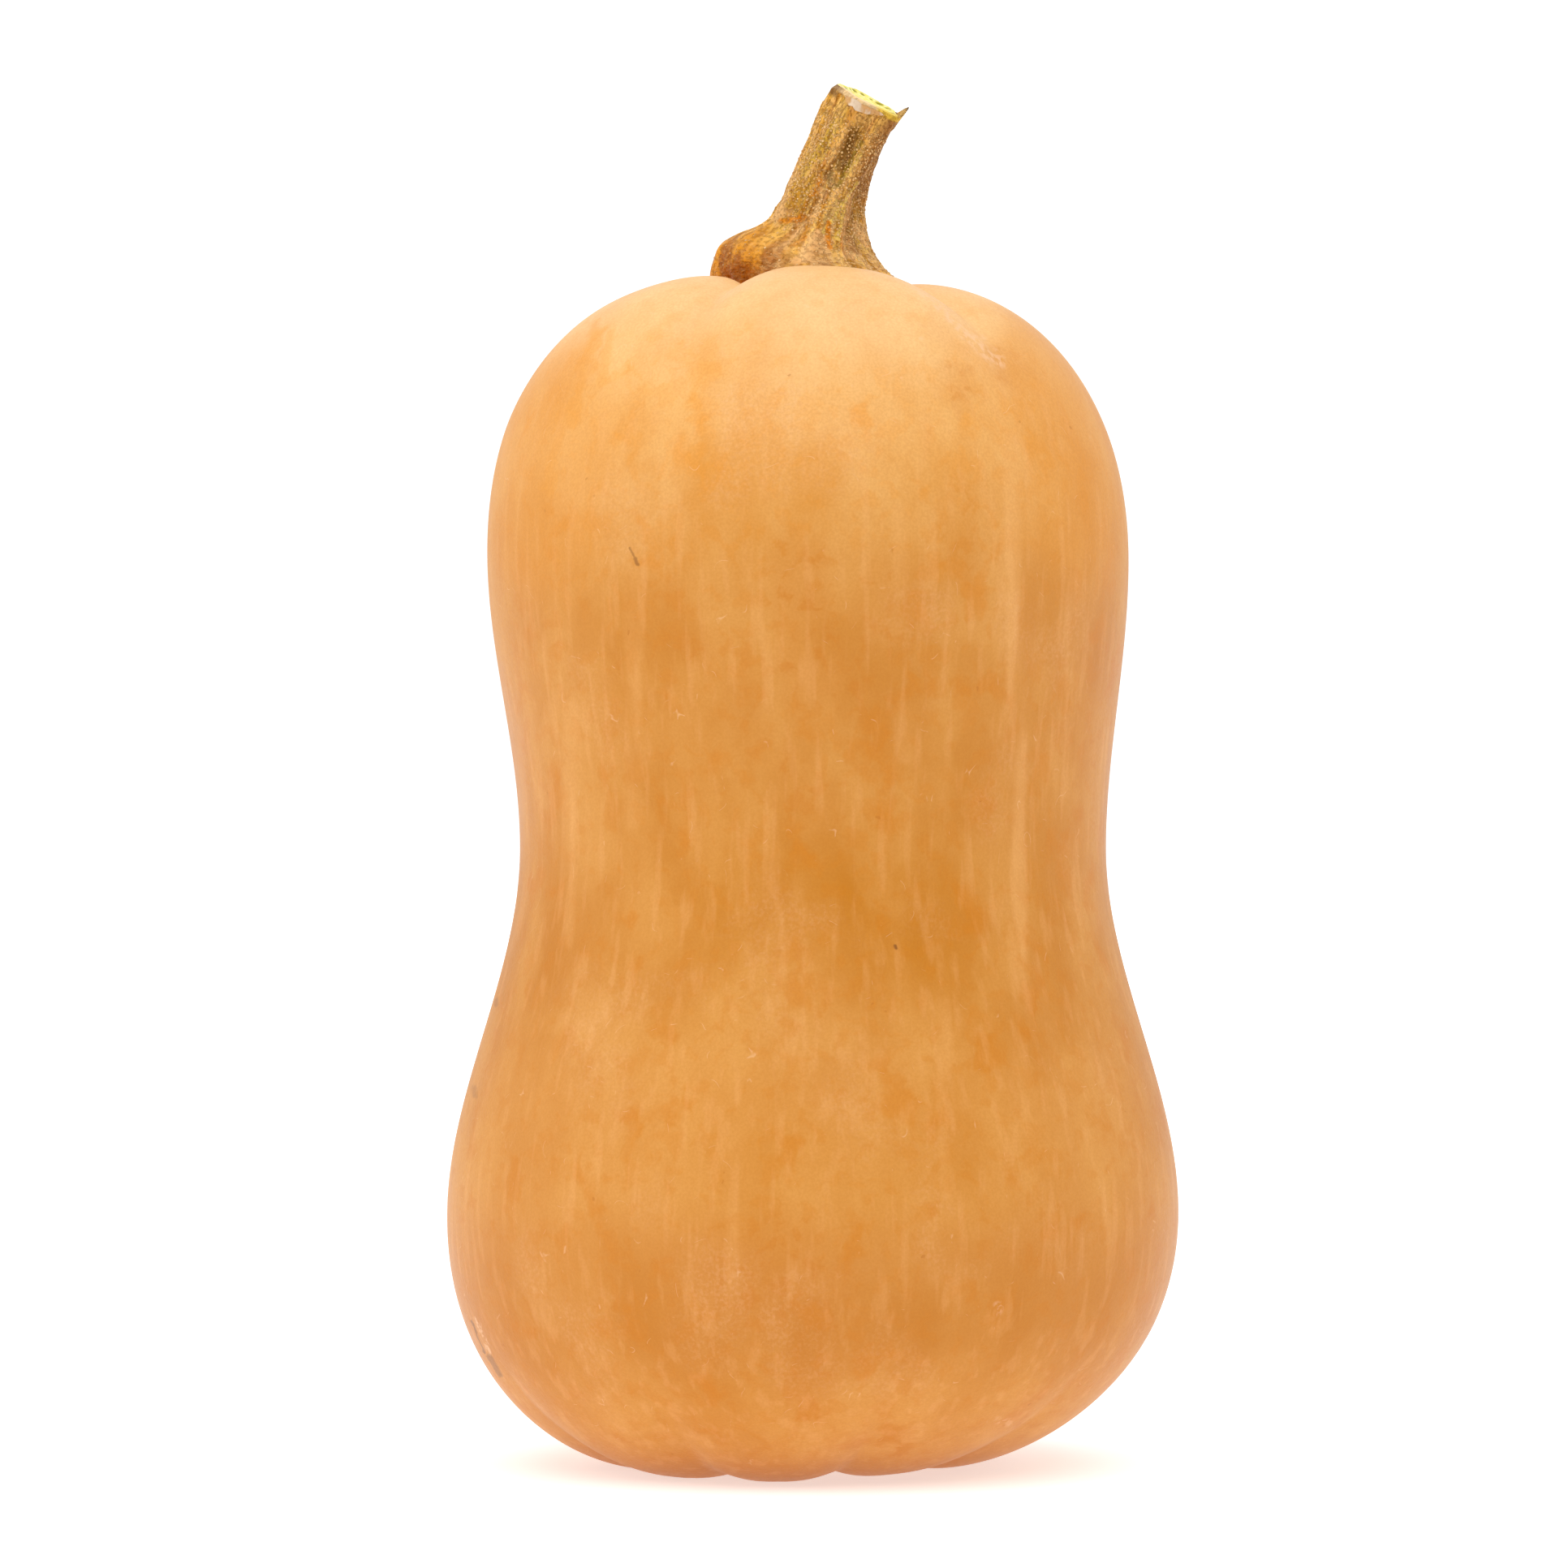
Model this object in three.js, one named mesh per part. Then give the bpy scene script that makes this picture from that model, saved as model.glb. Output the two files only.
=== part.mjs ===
// A butternut squash standing on its blossom end, in millimetres with +Z up.
// Its front faces -Y and its right side faces +X. The origin is on the surface
// it stands on, under the middle of the bulb. Angles round the fruit and round
// the stem start at the front and grow towards the right side.
import * as THREE from "three";

const { smoothstep, lerp, degToRad } = THREE.MathUtils;

// The outline of the fruit, as radius and height of each turning point.
const FRUIT = {
  scar: { radius: 0, height: 2.6 },
  foot: { radius: 24, height: -0.35 },
  bulb: { radius: 62.4, height: 43 },
  waist: { radius: 50, height: 105 },
  neck: { radius: 54.4, height: 153.6 },
  crest: { radius: 21, height: 198.6 },
  seat: { radius: 14.5, height: 197 },
};
const DEPTH_TO_WIDTH = 0.97;

// How far the curves between the turning points reach towards the next one.
const BULB_REACH = { level: 0.43, upright: 0.64 };
const WALL_REACH = 0.34;
const SHOULDER_REACH = { level: 0.5, upright: 0.68 };
const HOLLOW_REACH = 0.45;

// How far the middle of the fruit stands to the right, as pairs of height and offset.
const LEAN = [[0, -2.5], [20, 0.8], [43, 0.3], [90, 0.3], [110, 0], [150, -0.5], [180, -0.4], [201, -1.4]];

// Five lobes meet round the stem. The front one stands highest.
const SHOULDER_LOBES = 5;
const SHOULDER_GROOVE_DEPTH = 3.4;
const SHOULDER_GROOVE_ANGLE = degToRad(46);
const SHOULDER_FADE = 24;
const SHOULDER_TILT = 3.3;
const SHOULDER_TILT_ANGLE = degToRad(0);
const WALL_GROOVE_DEPTH = 0.5;

// Smaller lobes meet under the bulb. The ones at the front right stop short of the ground.
const BASE_LOBES = 9;
const BASE_GROOVE_DEPTH = 1.5;
const BASE_GROOVE_ANGLE = degToRad(14);
const BASE_FADE = 26;
const BASE_LIFT = 0.9;
const BASE_LIFT_ANGLE = degToRad(46);
const SCAR_RADIUS = 4.5;
const SCAR_RISE = 0.8;

// Broad swellings that make the walls a little uneven.
const SWELLINGS = [
  { depth: 0.4, lobes: 2, heightPerTurn: 350, start: 0.6 },
  { depth: 0.3, lobes: 3, heightPerTurn: -210, start: 0 },
];

// The stem leans to the right and towards the front, and is cut straight across.
const SEAT_GAP = 0.3;
const STEM_RIBS = 5;
const STEM_RIB_HEIGHT = 0.6;
const STEM_RIB_START = degToRad(50);
const STEM_RIB_TWIST = degToRad(128);
const COLLAR_HEIGHT = 14;
const CUSHION_ANGLE = degToRad(-75);
const BUTTRESSES = 15;
const BUTTRESS_HEIGHT = 0.5;
const CUT_CHAMFER = 0.6;
const CUT_DISH = 0.4;
const TORN_LIP_ANGLE = degToRad(84);
const TORN_LIP_WIDTH = degToRad(9);
const TORN_LIP_LENGTH = 2;
const WART_HEIGHT = 0.35;
const WART_SHARE = 0.2;
const WART_SEED = 7;

// How finely the two surfaces are divided.
const FRUIT_SEGMENTS = 80;
const FRUIT_RINGS = 58;
const STEM_SEGMENTS = 60;
const STEM_RINGS = 44;
const CURVE_SAMPLES = 90;

// A direction in the ground plane.
function heading(angle) {
  return new THREE.Vector2(Math.sin(angle), -Math.cos(angle));
}

// 1 along each of a number of evenly spaced valleys, and 0 on the lobes between.
function valley(angle, lobes, firstValley, sharpness) {
  return (1 - Math.abs(Math.sin((lobes * (angle - firstValley)) / 2))) ** sharpness;
}

// A smooth curve through pairs of height and value, read by height.
function curveThrough(pairs) {
  const corners = pairs.map(([height, value]) => new THREE.Vector2(height, value));
  const samples = new THREE.SplineCurve(corners).getPoints(CURVE_SAMPLES);
  return (height) => {
    const next = samples.findIndex((sample) => sample.x > height);
    if (next < 1) {
      return samples.at(next).y;
    }
    const [before, after] = [samples[next - 1], samples[next]];
    return lerp(before.y, after.y, (height - before.x) / (after.x - before.x));
  };
}

// Repeatable random numbers from 0 to 1.
function seededRandom(seed) {
  let state = seed;
  return () => {
    state = (Math.imul(state, 1664525) + 1013904223) >>> 0;
    return state / 2 ** 32;
  };
}

// One ring of points, from a function of the angle.
function ringOf(segments, pointAt) {
  return Array.from({ length: segments }, (unused, step) => pointAt((step / segments) * 2 * Math.PI));
}

// A closed solid from rings of points, all of one length, and a point at each end.
function closedSolid(firstPoint, rings, lastPoint) {
  const around = rings[0].length;
  const points = [firstPoint, ...rings.flat(), lastPoint];
  const last = points.length - 1;
  const at = (ring, step) => 1 + ring * around + (step % around);
  const faces = [];
  for (let step = 0; step < around; step++) {
    faces.push(0, at(0, step + 1), at(0, step));
    for (let ring = 0; ring + 1 < rings.length; ring++) {
      const [a, b] = [at(ring, step), at(ring, step + 1)];
      const [c, d] = [at(ring + 1, step), at(ring + 1, step + 1)];
      faces.push(a, b, d, a, d, c);
    }
    faces.push(last, at(rings.length - 1, step), at(rings.length - 1, step + 1));
  }
  const geometry = new THREE.BufferGeometry().setFromPoints(points);
  geometry.setIndex(faces);
  geometry.computeVertexNormals();
  return geometry;
}

// The fruit's outline, from the blossom scar round the bulb to the stem's seat.
function fruitOutline() {
  const { scar, foot, bulb, waist, neck, crest, seat } = FRUIT;
  const path = new THREE.Path();
  const level = (point, other, share) => [lerp(point.radius, other.radius, share), point.height];
  const upright = (point, other, share) => [point.radius, lerp(point.height, other.height, share)];
  const curve = (to, leaving, arriving) => {
    path.bezierCurveTo(...leaving, ...arriving, to.radius, to.height);
  };
  path.moveTo(scar.radius, scar.height);
  curve(foot, level(scar, foot, HOLLOW_REACH), level(foot, scar, HOLLOW_REACH));
  curve(bulb, level(foot, bulb, BULB_REACH.level), upright(bulb, foot, BULB_REACH.upright));
  curve(waist, upright(bulb, waist, WALL_REACH), upright(waist, bulb, WALL_REACH));
  curve(neck, upright(waist, neck, WALL_REACH), upright(neck, waist, WALL_REACH));
  curve(crest, upright(neck, crest, SHOULDER_REACH.upright), level(crest, neck, SHOULDER_REACH.level));
  curve(seat, level(crest, seat, HOLLOW_REACH), level(seat, crest, HOLLOW_REACH));
  path.lineTo(0, seat.height);
  return path;
}

// How far the lobes, grooves and tilt move the shoulder at a place.
function shoulderRelief(angle, radius, height) {
  const { crest, seat } = FRUIT;
  const near = smoothstep(height, crest.height - SHOULDER_FADE, crest.height);
  const share = near * smoothstep(radius, seat.radius, crest.radius);
  const grooves = valley(angle, SHOULDER_LOBES, SHOULDER_GROOVE_ANGLE, 2);
  const tilt = Math.cos(angle - SHOULDER_TILT_ANGLE);
  return share * (SHOULDER_TILT * tilt - SHOULDER_GROOVE_DEPTH * grooves);
}

// How far the small lobes and the blossom scar move the base at a place.
function baseRelief(angle, radius, height) {
  const { foot, bulb } = FRUIT;
  if (height > bulb.height) {
    return 0;
  }
  const share = (1 - smoothstep(height, 0, BASE_FADE)) * smoothstep(radius, SCAR_RADIUS, foot.radius);
  const grooves = valley(angle, BASE_LOBES, BASE_GROOVE_ANGLE, 1.5);
  const lift = Math.max(0, Math.cos(angle - BASE_LIFT_ANGLE)) ** 4;
  const scar = SCAR_RISE * (1 - smoothstep(radius, SCAR_RADIUS / 2, SCAR_RADIUS));
  return scar - share * (BASE_GROOVE_DEPTH * grooves + BASE_LIFT * lift);
}

// How far the broad swellings and faint grooves move the walls at a place.
function wallRelief(angle, height) {
  const { bulb, crest } = FRUIT;
  const shoulder = smoothstep(height, crest.height - SHOULDER_FADE, crest.height);
  const share = smoothstep(height, 0, bulb.height) * (1 - shoulder);
  const grooves = WALL_GROOVE_DEPTH * valley(angle, SHOULDER_LOBES, SHOULDER_GROOVE_ANGLE, 2);
  let swelling = 0;
  for (const { depth, lobes, heightPerTurn, start } of SWELLINGS) {
    swelling += depth * Math.sin(lobes * angle + (2 * Math.PI * height) / heightPerTurn + start);
  }
  return share * (swelling - grooves);
}

const leanAt = curveThrough(LEAN);

// The fruit, with its surface moved in and out along the outline's own normal.
function fruitGeometry() {
  const spots = fruitOutline().getSpacedPoints(FRUIT_RINGS);
  const pointAt = (ring, angle) => {
    const { x: radius, y: height } = spots[ring];
    const before = spots[Math.max(0, ring - 1)];
    const after = spots[Math.min(FRUIT_RINGS, ring + 1)];
    const along = after.clone().sub(before).normalize();
    const relief =
      shoulderRelief(angle, radius, height) + baseRelief(angle, radius, height) + wallRelief(angle, height);
    const out = heading(angle).multiplyScalar(radius + along.y * relief);
    const flattened = Math.max(0, height - along.x * relief);
    return new THREE.Vector3(out.x + leanAt(height), out.y * DEPTH_TO_WIDTH, flattened);
  };
  const rings = [];
  for (let ring = 1; ring < FRUIT_RINGS; ring++) {
    rings.push(ringOf(FRUIT_SEGMENTS, (angle) => pointAt(ring, angle)));
  }
  return closedSolid(pointAt(0, 0), rings, pointAt(FRUIT_RINGS, 0));
}

// The middle line of the stem, upright at its seat and leaning at the cut.
const stemFoot = new THREE.Vector3(LEAN.at(-1)[1], 0, FRUIT.seat.height + SEAT_GAP);
const stemAxis = new THREE.CubicBezierCurve3(
  stemFoot,
  stemFoot.clone().add(new THREE.Vector3(0, 0, 9)),
  stemFoot.clone().add(new THREE.Vector3(4.5, -2, 21.6)),
  stemFoot.clone().add(new THREE.Vector3(10.8, -4.7, 33.4)),
);

// Radius of the stem, as pairs of distance from its seat and radius: on the left
// the plump cushion, and on the right the side that spreads into thin buttresses.
const SHAFT = [[20.5, 6.2], [27, 5.8], [40, 6.2]];
const cushionRadius = curveThrough([
  [0, 12.8], [3, 15.3], [5.5, 15.3], [7.5, 14.2], [9.1, 12.3], [10.4, 10], [11.8, 8.4], [14, 7.4], ...SHAFT,
]);
const buttressRadius = curveThrough([
  [0, 14], [4, 15.9], [7, 14.6], [9, 12.4], [11, 10.4], [13.5, 8.7], [17, 7.2], ...SHAFT,
]);

// Radius of the stem at a distance from its seat, with its ribs and buttresses.
function stemRadius(distance, angle) {
  const plump = smoothstep(Math.cos(angle - CUSHION_ANGLE), -0.6, 0.7);
  const smooth = lerp(buttressRadius(distance), cushionRadius(distance), plump);
  const collar = 1 - smoothstep(distance, 0.7 * COLLAR_HEIGHT, 1.3 * COLLAR_HEIGHT);
  const twist = (STEM_RIB_TWIST * distance) / COLLAR_HEIGHT;
  const ribs = STEM_RIB_HEIGHT * Math.cos(STEM_RIBS * angle + STEM_RIB_START - twist);
  return smooth + ribs + BUTTRESS_HEIGHT * collar * Math.cos(BUTTRESSES * angle);
}

// The stem, with small warts on its bark and a torn lip on the right of its cut.
function stemGeometry() {
  const length = stemAxis.getLength();
  const random = seededRandom(WART_SEED);
  const place = (distance, angle, radius, rise) => {
    const up = stemAxis.getTangentAt(distance / length);
    const right = new THREE.Vector3(1, 0, 0).addScaledVector(up, -up.x).normalize();
    const back = new THREE.Vector3().crossVectors(up, right);
    const out = heading(angle).multiplyScalar(radius);
    return stemAxis.getPointAt(distance / length)
      .addScaledVector(right, out.x)
      .addScaledVector(back, out.y)
      .addScaledVector(up, rise);
  };
  const rings = [];
  for (let ring = 0; ring <= STEM_RINGS; ring++) {
    const distance = (length * ring) / STEM_RINGS;
    const isEnd = ring === 0 || ring === STEM_RINGS;
    const wart = () => (!isEnd && random() < WART_SHARE ? WART_HEIGHT : 0);
    rings.push(ringOf(STEM_SEGMENTS, (angle) => (
      place(distance, angle, stemRadius(distance, angle) + wart(), 0)
    )));
  }
  const rim = (angle) => stemRadius(length, angle);
  const lip = (angle) => Math.exp(-(((angle - TORN_LIP_ANGLE) / TORN_LIP_WIDTH) ** 2));
  rings.push(
    ringOf(STEM_SEGMENTS, (angle) => (
      place(length, angle, rim(angle) + CUT_CHAMFER * lip(angle), CUT_DISH + TORN_LIP_LENGTH * lip(angle))
    )),
    ringOf(STEM_SEGMENTS, (angle) => place(length, angle, rim(angle) - CUT_CHAMFER, CUT_CHAMFER)),
    ringOf(STEM_SEGMENTS, (angle) => place(length, angle, rim(angle) / 2, CUT_DISH)),
  );
  return closedSolid(stemFoot, rings, place(length, 0, 0, CUT_DISH / 2));
}

const skin = new THREE.MeshStandardMaterial({ color: 0xe0a058, roughness: 0.5, metalness: 0 });
const bark = new THREE.MeshStandardMaterial({ color: 0xb07f38, roughness: 0.75, metalness: 0 });

const fruit = new THREE.Mesh(fruitGeometry(), skin);
fruit.name = "fruit";
const stem = new THREE.Mesh(stemGeometry(), bark);
stem.name = "stem";

const squash = new THREE.Group();
squash.add(fruit, stem);

// The origin goes under the middle of the fruit.
const middle = new THREE.Box3().setFromObject(fruit).getCenter(new THREE.Vector3());
squash.position.set(-middle.x, -middle.y, 0);

export default squash;
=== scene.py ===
import bisect
import bpy
import math
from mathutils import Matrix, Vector, geometry, noise


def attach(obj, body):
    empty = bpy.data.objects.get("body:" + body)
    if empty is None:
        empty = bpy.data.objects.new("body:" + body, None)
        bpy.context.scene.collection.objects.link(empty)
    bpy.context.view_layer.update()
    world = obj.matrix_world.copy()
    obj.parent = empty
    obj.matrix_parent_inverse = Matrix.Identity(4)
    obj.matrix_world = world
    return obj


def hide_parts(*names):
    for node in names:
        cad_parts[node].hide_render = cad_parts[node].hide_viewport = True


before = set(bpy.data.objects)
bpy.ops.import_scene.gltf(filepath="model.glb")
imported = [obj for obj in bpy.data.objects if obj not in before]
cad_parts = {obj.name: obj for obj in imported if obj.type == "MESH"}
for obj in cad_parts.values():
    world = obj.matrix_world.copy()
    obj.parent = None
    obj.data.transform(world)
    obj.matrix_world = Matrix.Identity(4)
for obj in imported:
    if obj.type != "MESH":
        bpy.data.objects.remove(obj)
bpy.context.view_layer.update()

MM = 0.001

# The camera stands a little over a metre in front, level with the fruit's waist.
# The picture is 1932 pixels wide, and a pixel covers 0.1378 mm at the fruit's middle.
PICTURE_WIDTH = 1932
PIXEL_SIZE = 0.1378 * MM
CAMERA_DISTANCE = 1.1
CAMERA_HEIGHT = 115.6 * MM
CAMERA_OFFSET = -4.8 * MM

camera = bpy.data.objects.new("camera", bpy.data.cameras.new("camera"))
camera.location = (CAMERA_OFFSET, -CAMERA_DISTANCE, CAMERA_HEIGHT)
camera.rotation_euler = (math.pi / 2, 0, 0)
camera.data.lens = camera.data.sensor_width * CAMERA_DISTANCE / (PICTURE_WIDTH * PIXEL_SIZE)
bpy.context.collection.objects.link(camera)
bpy.context.scene.camera = camera


# The fruit is one fleshy berry with a thin waxy rind. It grew in one piece: it
# swells round its seeds at the base, and the five lobes of its neck meet in a
# shallow pit round the stem. It stands on the lobes round its blossom scar.

# The places on its outline, from the scar up to the stem: radius and height in mm.
FRUIT = {
    "scar": (0, 2.6),
    "foot": (24, -0.35),
    "bulb": (62.4, 43),
    "waist": (50, 105),
    "neck": (54.4, 153.6),
    "crest": (21, 198.6),
    "seat": (14.5, 197),
    "middle": (0, 197),
}
# How far to the right the fruit's middle is at each place, in mm.
LEAN = {
    "scar": -2.5, "foot": -2.5, "bulb": 0.4, "waist": 0.1,
    "neck": -0.5, "crest": -1.3, "seat": -1.4, "middle": -1.4,
}
# How far the curve's handles reach towards the place before and the place after, as
# shares of the gap across and up.
REACH_BACK = {
    "foot": (0.45, 0), "bulb": (0, 0.64), "waist": (0, 0.34), "neck": (0, 0.34), "crest": (0.5, 0),
    "seat": (0.45, 0), "middle": (0.33, 0),
}
REACH_AHEAD = {
    "scar": (0.45, 0), "foot": (0.43, 0), "bulb": (0, 0.34), "waist": (0, 0.34), "neck": (0, 0.68),
    "crest": (0.45, 0), "seat": (0.33, 0),
}
BOX_MIDDLE = (0.326, 0.201)
fruit_sizes = {
    "Segments": 300,
    "Rings": 300,
    "Depth to width": 0.97,
    "Middle across": BOX_MIDDLE[0] * MM,
    "Middle ahead": BOX_MIDDLE[1] * MM,
    "Foot radius": FRUIT["foot"][0] * MM,
    "Bulb height": FRUIT["bulb"][1] * MM,
    "Crest radius": FRUIT["crest"][0] * MM,
    "Crest height": FRUIT["crest"][1] * MM,
    "Seat radius": FRUIT["seat"][0] * MM,
    "Shoulder lobes": 5,
    "Shoulder groove depth": 3.4 * MM,
    "Shoulder groove angle": math.radians(46),
    "Shoulder groove sharpness": 2.0,
    "Shoulder fade": 24 * MM,
    "Shoulder tilt": 3.3 * MM,
    "Shoulder tilt angle": 0.0,
    "Wall groove depth": 0.5 * MM,
    "Base lobes": 9,
    "Base groove depth": 1.5 * MM,
    "Base groove angle": math.radians(14),
    "Base groove sharpness": 1.5,
    "Base fade": 26 * MM,
    "Base lift": 0.9 * MM,
    "Base lift angle": math.radians(46),
    "Base lift sharpness": 4.0,
    "Scar radius": 4.5 * MM,
    "Scar rise": 0.8 * MM,
    "Seam gap": 0.01 * MM,
}
# Broad waves round the walls, which make them a little uneven.
WALL_SWELLINGS = [
    {"depth": 0.4 * MM, "lobes": 2, "height_per_turn": 350 * MM, "start": 0.6},
    {"depth": 0.3 * MM, "lobes": 3, "height_per_turn": -210 * MM, "start": 0},
]
OUTLINE_STEPS = 64


def feed(socket, value):
    """Feeds a node's input from another node, or sets it to a plain value."""
    if isinstance(value, Field):
        value = value.socket
    if isinstance(value, bpy.types.NodeSocket):
        socket.id_data.links.new(value, socket)
    else:
        socket.default_value = value


class Field:
    """A number that nodes work out. Arithmetic on it adds Math nodes to its tree."""

    def __init__(self, socket):
        self.socket = socket

    def math(self, operation, *others):
        node = self.socket.id_data.nodes.new("ShaderNodeMath")
        node.operation = operation
        for socket, value in zip(node.inputs, (self, *others)):
            feed(socket, value)
        return Field(node.outputs[0])

    def __add__(self, other):
        return self.math("ADD", other)

    def __sub__(self, other):
        return self.math("SUBTRACT", other)

    def __mul__(self, other):
        return self.math("MULTIPLY", other)

    def __truediv__(self, other):
        return self.math("DIVIDE", other)

    def __pow__(self, other):
        return self.math("POWER", other)

    def __abs__(self):
        return self.math("ABSOLUTE")

    def flipped(self):
        return self * -1 + 1

    def step(self, low, high):
        """0 at low and 1 at high, with a smooth change between."""
        node = self.socket.id_data.nodes.new("ShaderNodeMapRange")
        node.interpolation_type = "SMOOTHSTEP"
        for name, value in (("Value", self), ("From Min", low), ("From Max", high)):
            feed(node.inputs[name], value)
        return Field(node.outputs["Result"])


def placed(tree, kind, settings=None, **inputs):
    """Adds a node with its settings and inputs. A space in an input's name is written as _."""
    node = tree.nodes.new(kind)
    for name, value in (settings or {}).items():
        setattr(node, name, value)
    for name, value in inputs.items():
        feed(node.inputs[name.replace("_", " ")], value)
    return node


def with_identifier(sockets, identifier):
    """The socket with this identifier, where several have the same name."""
    return next(socket for socket in sockets if socket.identifier == identifier)


def parts_of(vector):
    """The three numbers of a vector."""
    node = placed(vector.id_data, "ShaderNodeSeparateXYZ", Vector=vector)
    return [Field(socket) for socket in node.outputs]


def vector_math(operation, first, *others):
    """The result of a Vector Math node: a number where the operation measures, else a vector."""
    node = placed(first.id_data, "ShaderNodeVectorMath", {"operation": operation})
    for socket, value in zip(node.inputs, (first, *others)):
        feed(socket, value)
    return node.outputs["Value" if operation in ("DOT_PRODUCT", "LENGTH") else "Vector"]


def scaled(vector, amount):
    node = placed(vector.id_data, "ShaderNodeVectorMath", {"operation": "SCALE"}, Scale=amount)
    feed(node.inputs[0], vector)
    return node.outputs["Vector"]


def new_group(name, kind, inputs, outputs):
    """A node group with named inputs and outputs."""
    tree = bpy.data.node_groups.new(name, kind)
    for label, (socket_kind, default) in inputs.items():
        socket = tree.interface.new_socket(label, in_out="INPUT", socket_type=socket_kind)
        if default is not None:
            socket.default_value = default
    for label, socket_kind in outputs.items():
        tree.interface.new_socket(label, in_out="OUTPUT", socket_type=socket_kind)
    return tree, tree.nodes.new("NodeGroupInput").outputs, tree.nodes.new("NodeGroupOutput").inputs


def sized_inputs(sizes):
    """Group inputs for a dictionary of sizes and counts."""
    return {
        label: ("NodeSocketInt" if isinstance(value, int) else "NodeSocketFloat", value)
        for label, value in sizes.items()
    }


def finish_growing(tree, shape, material):
    """The last three steps of every Geometry Nodes tree here."""
    smooth = placed(tree, "GeometryNodeSetShadeSmooth", Geometry=shape)
    real = placed(tree, "GeometryNodeRealizeInstances", Geometry=smooth.outputs[0])
    return placed(tree, "GeometryNodeSetMaterial", Geometry=real.outputs[0], Material=material).outputs[0]


def grown(carrier, name, tree, inputs):
    """Runs a tree on a carrier object, and gives its result as a plain mesh object."""
    modifier = carrier.modifiers.new(name, "NODES")
    modifier.node_group = tree
    for item in tree.interface.items_tree:
        if item.in_out == "INPUT" and item.name in inputs:
            modifier[item.identifier] = inputs[item.name]
    made = carrier.evaluated_get(bpy.context.evaluated_depsgraph_get())
    mesh = bpy.data.meshes.new_from_object(made)
    mesh.name = name
    carrier.modifiers.remove(modifier)
    return shown(mesh)


def shown(mesh):
    """A mesh as an object of the same name in the scene."""
    thing = bpy.data.objects.new(mesh.name, mesh)
    bpy.context.collection.objects.link(thing)
    return thing


def valley(angle, lobes, first_valley, sharpness):
    """1 along evenly spaced valleys round the fruit, and 0 on the lobes between."""
    wave = ((angle - first_valley) * lobes / 2).math("SINE")
    return abs(wave).flipped() ** sharpness


def swelling(angle, height, depth, lobes, height_per_turn, start):
    return (angle * lobes + height * (2 * math.pi / height_per_turn) + start).math("SINE") * depth


def fruit_tree():
    """Turns the outline round the upright axis and presses the lobes and grooves into it."""
    inputs = {"Outline": ("NodeSocketGeometry", None), "Skin": ("NodeSocketMaterial", None)}
    inputs.update(sized_inputs(fruit_sizes))
    tree, given, made = new_group("turned_fruit", "GeometryNodeTree", inputs, {"Fruit": "NodeSocketGeometry"})
    size = {label: Field(given[label]) for label in fruit_sizes}

    # A flat square of 1 by 1, centred on the origin, is rolled up: across it is the angle,
    # and up it is the place along the outline.
    grid = placed(
        tree, "GeometryNodeMeshGrid", Size_X=1.0, Size_Y=1.0,
        Vertices_X=size["Segments"] + 1, Vertices_Y=size["Rings"] + 1,
    )
    across, along = parts_of(tree.nodes.new("GeometryNodeInputPosition").outputs["Position"])[:2]
    angle = (across + 0.5) * (2 * math.pi)
    spot = placed(
        tree, "GeometryNodeSampleCurve", {"mode": "FACTOR"}, Curves=given["Outline"], Factor=along + 0.5,
    )
    radius, lean, height = parts_of(spot.outputs["Position"])
    tangent = parts_of(spot.outputs["Tangent"])
    outward, upward = tangent[0], tangent[2]

    near_top = height.step(size["Crest height"] - size["Shoulder fade"], size["Crest height"])
    shoulder = near_top * radius.step(size["Seat radius"], size["Crest radius"])
    grooves = valley(
        angle, size["Shoulder lobes"], size["Shoulder groove angle"], size["Shoulder groove sharpness"],
    )
    tilt = (angle - size["Shoulder tilt angle"]).math("COSINE") * size["Shoulder tilt"]
    shoulder_relief = shoulder * (tilt - grooves * size["Shoulder groove depth"])

    low_down = height.math("LESS_THAN", size["Bulb height"])
    near_foot = height.step(0.0, size["Base fade"]).flipped()
    base = near_foot * radius.step(size["Scar radius"], size["Foot radius"])
    base_grooves = valley(angle, size["Base lobes"], size["Base groove angle"], size["Base groove sharpness"])
    towards_lift = (angle - size["Base lift angle"]).math("COSINE").math("MAXIMUM", 0.0)
    lift = towards_lift ** size["Base lift sharpness"] * size["Base lift"]
    scar = radius.step(size["Scar radius"] / 2, size["Scar radius"]).flipped()
    base_relief = scar * size["Scar rise"] - base * (base_grooves * size["Base groove depth"] + lift)

    wall = height.step(0.0, size["Bulb height"]) * near_top.flipped()
    first_wave, second_wave = [swelling(angle, height, **wave) for wave in WALL_SWELLINGS]
    wall_relief = wall * (first_wave + second_wave - grooves * size["Wall groove depth"])

    relief = shoulder_relief + low_down * base_relief + wall_relief
    reach = radius + upward * relief
    place = placed(
        tree, "ShaderNodeCombineXYZ",
        X=angle.math("SINE") * reach + lean - size["Middle across"],
        Y=angle.math("COSINE") * reach * size["Depth to width"] * -1 - size["Middle ahead"],
        Z=(height - outward * relief).math("MAXIMUM", 0.0),
    )
    turned = placed(tree, "GeometryNodeSetPosition", Geometry=grid.outputs["Mesh"], Position=place.outputs[0])
    closed = placed(
        tree, "GeometryNodeMergeByDistance", Geometry=turned.outputs[0], Distance=size["Seam gap"],
    )
    shape = closed.outputs[0]
    # The groove and crease masks also tell the skin material where to paint shade.
    marks = {
        "groove": shoulder * grooves,
        "crease": low_down * base * base_grooves,
        "scar": low_down * scar,
    }
    for label, value in marks.items():
        shape = placed(
            tree, "GeometryNodeStoreNamedAttribute", Geometry=shape, Name=label, Value=value,
        ).outputs[0]
    feed(made["Fruit"], finish_growing(tree, shape, given["Skin"]))
    return tree


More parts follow.
